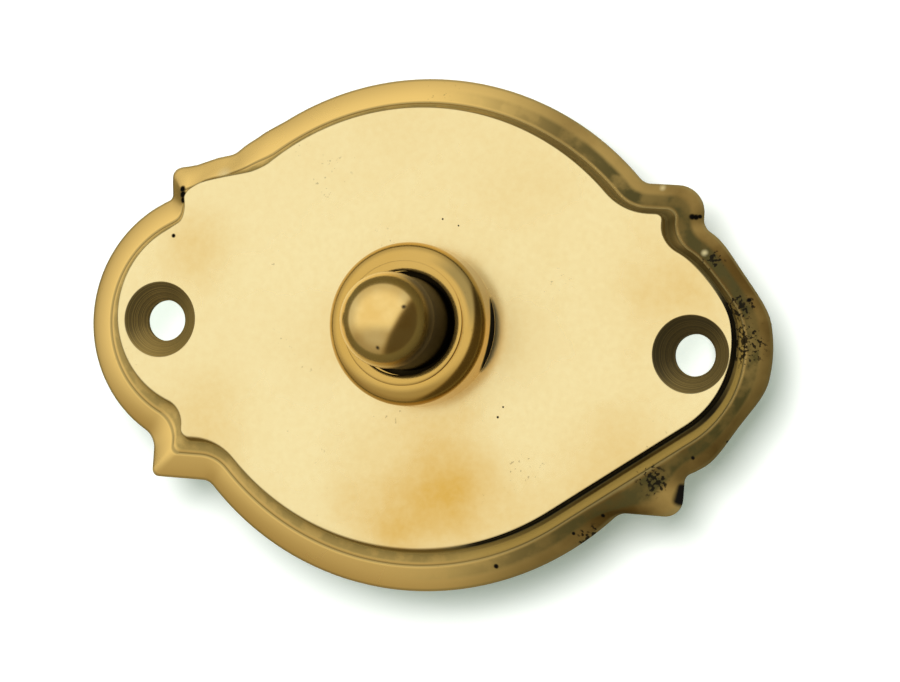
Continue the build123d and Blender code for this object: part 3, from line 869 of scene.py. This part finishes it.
def makeCastBrass():
    c = castBrass
    bench = Bench(bpy.data.materials.new("castBrass"))
    where = bench.places()
    east, north, high = bench.inMm(where)
    across = bench.node("ShaderNodeAttribute", {"attribute_name": "across"}, out=2)
    clouds = bench.noise(where, *c["cloudNoise"])
    broad = bench.noise(where, *c["broadNoise"])
    grain = bench.noise(where, *c["grainNoise"])
    grime = bench.noise(where, *c["grimeNoise"])
    onRim = bench.band(across, *c["rimBand"])
    onBoss = bench.fade(high - fieldTop, *c["bossFade"])

    # Field: pale gold with warm clouds
    patches = c["warmLeast"]
    for x, y, radius, strength in c["warmPatches"]:
        patches = patches + strength * bench.patch(where, x, y, radius)
    mottle = between(*c["warmShare"], bench.fade(clouds, *c["warmFade"]))
    warm = weighed({"patches": patches * mottle, "broad": bench.fade(broad, *c["broadFade"]),
                    "grain": grain - c["noiseMiddle"]}, c["warmWeights"])
    base = bench.mix(bench.most(warm, 0.0), colour(*c["gold"]), colour(*c["warm"]))
    base = bench.mix(onBoss * between(*c["bossShare"], clouds), base, colour(*c["bossGold"]))

    # Rim: gold on the left and brown on the right as painted shade, where the roll is also painted grey as
    # shade. A dull cast band runs along the cove, and dark lines along the rim
    right = bench.fade(east, *c["rightFade"])
    low, rightwards = c["lowRightFades"]
    lowRight = bench.fade(north, *low) * bench.fade(east, *rightwards)
    # Painted shade: brown over the right of the rim, and the roll painted grey there
    rightShade = right * between(*c["rightShadeShare"], bench.fade(clouds, *c["rightShadeFade"]))
    dullAndShade = bench.most(bench.band(across, *c["rollBand"]) * right,
                      bench.band(across, *c["coveBand"]) * (1 - lowRight) * c["coveDull"])
    dullAndShade = dullAndShade * between(*c["dullShare"], bench.fade(grime, *c["dullFade"]))
    gilt = bench.band(across, *c["giltBand"]) * lowRight
    lines = bench.most(bench.band(across, *c["creaseLine"]), bench.band(across, *c["coveLine"]),
                       bench.band(across, *c["footLine"]) * c["footStrength"])
    rim = bench.mix(rightShade, colour(*c["rimGold"]), colour(*c["brown"]))
    rim = bench.mix(dullAndShade, rim, colour(*c["dullGrey"]))
    rim = bench.mix(gilt, rim, colour(*c["coveGold"]))
    rim = bench.mix(lines * c["lineStrength"], rim, colour(*c["olive"]))
    base = bench.mix(onRim, base, rim)

    # Wall of the field: a dark line, and black painted shade along the lower right. The lower right ear's cheek
    # is painted black as shade
    rightwards, low = c["blackFades"]
    black = bench.fade(east - c["blackSlope"] * north, *rightwards) * bench.fade(north, *low)
    wide = bench.band(across, *c["wideBand"]) * bench.patch(where, *c["widePatch"])
    cheek = bench.patch(where, *c["cheekPatch"], c["cheekEdge"]) * bench.band(across, *c["cheekBand"])
    # Painted shade: black on the wall to the lower right and on the lower right ear's cheek
    paintedWallShade = bench.most(bench.band(across, *c["blackBand"]) * black, wide * black, cheek)
    onWall = bench.band(across, *c["wallBand"])
    base = bench.mix(onWall * c["wallStrength"], base, colour(*c["olive"]))
    base = bench.mix(paintedWallShade, base, colour(*c["pitBlackAndShade"]))

    # Countersinks: dull machined cones with fine rings, darker in the right hole and on each cone's upper left
    # side as painted shade
    sinks = rings = facing = 0
    for holeX, holeY in bossSet["holes"]:
        away = bench.awayFrom(where, holeX, holeY)
        cone = bench.fade(away, bossSet["sinkRadius"] + c["sinkRim"], bossSet["sinkRadius"])
        cone = cone * bench.fade(high, fieldTop, fieldTop - c["sinkDepth"])
        southEast = east - holeX - (north - holeY)
        sinks = sinks + cone
        rings = rings + cone * bench.turned(away, *c["sinkRings"])
        facing = facing + cone * bench.fade(southEast, *c["facingFade"])
    dark = weighed({"right": right, "rings": bench.fade(rings, *c["ringFade"]), "shadedSide": 1 - facing},
                   c["sinkWeights"])
    dark = bench.maths("MINIMUM", dark, c["sinkDarkest"])
    machined = bench.mix(dark, colour(*c["machined"]), colour(*c["pitBlackAndShade"]))
    base = bench.mix(sinks * c["sinkStrength"], base, machined)

    # Boss: painted shade over its upper right shoulder, and a painted black shadow low on its wall on the right
    fromAxis = bench.awayFrom(where, 0, 0)
    shade = bench.patch(where, *c["shadePatch"], c["shadeEdge"]) * bench.fade(fromAxis, *c["shadeFade"])
    base = bench.mix(shade * onBoss * c["shadeStrength"], base, colour(*c["olive"]))
    start, full = (bossSet["radius"] - inwards for inwards in c["bossShadowWall"])
    halfLength, halfHeight = c["bossShadowHalves"]
    along = (north - c["bossShadowNorth"]) * (1 / halfLength)
    upwards = (high - fieldTop) * (1 / halfHeight)
    # Painted shadow: black low on the boss's wall on the right
    bossShadow = bench.fade(fromAxis, start, full) * onBoss * bench.fade(east, *c["bossShadowEast"])
    bossShadow = bossShadow * bench.fade(along * along + upwards * upwards, *c["bossShadowFade"])
    base = bench.mix(bossShadow, base, colour(*c["pitBlackAndShade"]))

    # Casting pits and single black spots
    speckle = bench.noise(where, *c["speckleNoise"])
    rarely = bench.noise(where, *c["rareNoise"])
    pitPlaces = bench.anyPatch(where, c["pitPatches"])
    pits = bench.fade(speckle + c["pitMore"] * pitPlaces, *c["pitFade"])
    pits = pits * bench.fade(pitPlaces, *c["pitPlaceFade"]) * onRim
    sparse = bench.fade(rarely, *c["rareFade"]) * bench.fade(speckle, *c["speckleFade"])
    spots = bench.anyPatch(where, c["blackSpots"], c["spotEdge"]) * bench.fade(across, *c["spotFade"])
    holes = bench.most(spots, pits * c["pitStrength"], sparse * c["speckleStrength"])
    base = bench.mix(holes, base, colour(*c["pitBlackAndShade"]))

    # Back: the casting as it left the sand
    back = bench.fade(across, *c["backFade"])
    raw = back * between(*c["rawShare"], bench.fade(clouds, *c["rawFade"]))
    base = bench.mix(raw, base, colour(*c["raw"]))

    # A few painted highlights on the rim
    highlight = bench.anyPatch(where, c["highlightSpots"]) * onRim
    base = bench.mix(highlight * c["highlightStrength"], base, colour(*c["gold"]))

    # Matt where it is dull, where the right side is painted as shade, and where it is black
    matt = onRim * weighed({"dullAndShade": dullAndShade, "gilt": gilt, "rightShade": rightShade * (1 - dullAndShade) * (1 - gilt)},
                           c["mattWeights"])
    values = {"clouds": clouds, "matt": matt, "sinks": sinks, "back": back, "holes": holes,
              "black": paintedWallShade, "boss": onBoss, "bossShadow": bossShadow}
    metal = bench.most(1 - weighed(values, c["metalLosses"]), c["metalLeast"])
    rough = c["roughPlain"] + weighed(values, c["roughWeights"])
    waves = bench.noise(where, *c["waveNoise"])
    height = weighed({"waves": waves, "grain": grain * onRim, "grime": dullAndShade * grime, "rings": rings,
                      "pits": pits, "sand": back * grime}, c["reliefWeights"])
    bump = bench.node("ShaderNodeBump", None,
                      {"Strength": c["bumpStrength"], "Distance": c["bumpDepth"] * mm, "Height": height})
    bench.surface({"Base Color": base, "Metallic": metal, "Roughness": rough, "Normal": bump,
                   "Specular IOR Level": c["specular"]})
    return bpy.data.materials["castBrass"]


# Turned brass of the push: a polished dome over a shank painted near black as shade, with fine rings left by the
# tool. The dome is painted olive on its right and dark on its lower right as shade. Lengths are in mm, and
# heights are above the dome's centre
turnedBrass = {
    "gold": (0.92, 0.70, 0.29),
    "deep": (0.80, 0.52, 0.15),
    "olive": (0.30, 0.20, 0.055),
    "shank": (0.010, 0.007, 0.003),
    "stain": (0.03, 0.02, 0.01),
    "cloudNoise": (260.0, 4.0),
    "cloudFade": (0.35, 0.7),
    "deepShare": (0.25, 0.85),
    "rings": (9.0, 2.0),
    "bandHeights": (3.3, 1.4),
    "bandEast": (-1.0, 2.8),
    "bandStrength": 0.80,
    "shankHeights": (1.2, -0.3),
    "lowHeights": (2.4, 0.9),
    "lowEast": (0.4, 3.0),
    "lowStrength": 0.86,
    "shankShare": (0.97, 1.0),
    "stains": ((2.87, 1.29, 0.34), (0.43, -3.04, 0.32)),
    "roughPlain": 0.14,
    "roughWeights": {"clouds": 0.06, "shank": 0.28, "stains": 0.1},
    "cloudRelief": 0.5,
    "bumpStrength": 0.12,
    "bumpDepth": 0.05,
}


def makeTurnedBrass():
    t = turnedBrass
    bench = Bench(bpy.data.materials.new("turnedBrass"))
    where = bench.places()
    east, high = bench.inMm(where)[::2]
    above = high - pushSet["domeCentre"]
    clouds = bench.noise(where, *t["cloudNoise"])
    rings = bench.turned(high, *t["rings"])
    deep = between(*t["deepShare"], bench.fade(clouds, *t["cloudFade"]))
    base = bench.mix(deep, colour(*t["gold"]), colour(*t["deep"]))
    # Painted shade: olive on the dome's right
    band = bench.fade(above, *t["bandHeights"]) * bench.fade(east, *t["bandEast"])
    base = bench.mix(band * t["bandStrength"], base, colour(*t["olive"]))
    # Painted shade: the shank and the dome's lower right near black
    lowRight = bench.fade(above, *t["lowHeights"]) * bench.fade(east, *t["lowEast"])
    shank = bench.most(bench.fade(above, *t["shankHeights"]), lowRight * t["lowStrength"])
    base = bench.mix(shank * between(*t["shankShare"], clouds), base, colour(*t["shank"]))
    stains = bench.anyPatch(where, t["stains"])
    base = bench.mix(stains * (1 - shank), base, colour(*t["stain"]))
    rough = t["roughPlain"] + weighed({"clouds": clouds, "shank": shank, "stains": stains}, t["roughWeights"])
    height = rings * shank + t["cloudRelief"] * clouds
    bump = bench.node("ShaderNodeBump", None,
                      {"Strength": t["bumpStrength"], "Distance": t["bumpDepth"] * mm, "Height": height})
    bench.surface({"Base Color": base, "Metallic": 1.0, "Roughness": rough, "Normal": bump})
    return bpy.data.materials["turnedBrass"]


# Finishes of the pieces behind the plate, by material slot. A finish has two shades that a cloudy pattern
# mixes, and that pattern may be drawn out along the piece
finishes = {
    "contact_brass": {
        "light": (0.80, 0.61, 0.30), "dark": (0.50, 0.33, 0.13), "metal": 1.0, "rough": (0.24, 0.42),
        "scale": 190.0, "stretch": (0.12, 1.0, 1.0), "bump": 0.10,
    },
    "contact_silver": {
        "light": (0.84, 0.83, 0.80), "dark": (0.46, 0.42, 0.35), "metal": 1.0, "rough": (0.20, 0.40),
        "scale": 900.0, "stretch": (1.0, 1.0, 1.0), "bump": 0.10,
    },
    "spring_steel": {
        "light": (0.64, 0.64, 0.65), "dark": (0.34, 0.33, 0.33), "metal": 1.0, "rough": (0.26, 0.44),
        "scale": 420.0, "stretch": (1.0, 1.0, 0.35), "bump": 0.12,
    },
    "block_resin": {
        "light": (0.075, 0.050, 0.040), "dark": (0.038, 0.027, 0.024), "metal": 0.0, "rough": (0.24, 0.40),
        "scale": 120.0, "stretch": (1.0, 0.45, 1.0), "bump": 0.08,
    },
    "tip_ebonite": {
        "light": (0.045, 0.042, 0.040), "dark": (0.022, 0.021, 0.020), "metal": 0.0, "rough": (0.42, 0.62),
        "scale": 700.0, "stretch": (1.0, 1.0, 0.5), "bump": 0.10,
    },
    "disc_fibre": {
        "light": (0.42, 0.135, 0.085), "dark": (0.26, 0.070, 0.045), "metal": 0.0, "rough": (0.55, 0.75),
        "scale": 420.0, "stretch": (0.18, 1.0, 1.0), "bump": 0.25,
    },
}

# What the finishes share. The bump's depth is in mm
finishPattern = {
    "streakDetail": 5.0,
    "speckFiner": 6,
    "speckDetail": 3.0,
    "speckShare": 0.25,
    "speckRelief": 0.3,
    "shadeFade": (0.36, 0.66),
    "bumpDepth": 0.1,
}


def makeFinish(slot):
    f = finishes[slot]
    p = finishPattern
    bench = Bench(bpy.data.materials.new(slot))
    drawnOut = bench.node("ShaderNodeMapping", None, {"Vector": bench.places(), "Scale": f["stretch"]})
    streaks = bench.noise(drawnOut, f["scale"], p["streakDetail"])
    specks = bench.noise(drawnOut, f["scale"] * p["speckFiner"], p["speckDetail"])
    shade = bench.fade(between(streaks, specks, p["speckShare"]), *p["shadeFade"])
    base = bench.mix(shade, colour(*f["light"]), colour(*f["dark"]))
    height = streaks + p["speckRelief"] * specks
    bump = bench.node("ShaderNodeBump", None,
                      {"Strength": f["bump"], "Distance": p["bumpDepth"] * mm, "Height": height})
    bench.surface({"Base Color": base, "Metallic": f["metal"], "Roughness": between(*f["rough"], shade),
                   "Normal": bump})
    return bpy.data.materials[slot]


materials = {slot: makeFinish(slot) for slot in finishes}
materials["cast_brass"] = makeCastBrass()
materials["turned_brass"] = makeTurnedBrass()
for part in frame["record"]["subparts"]:
    slots = nodes[part["node"]].data.materials
    slots.clear()
    slots.append(materials[part["material_slot"]])
plate.data.materials.append(materials["cast_brass"])
push.data.materials.append(materials["turned_brass"])
print("materials set:", ", ".join(materials))

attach(plate, "plate_assembly")
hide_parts("push_plate")
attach(push, "push")
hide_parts("push_button")
print("pieces ride on their bodies")
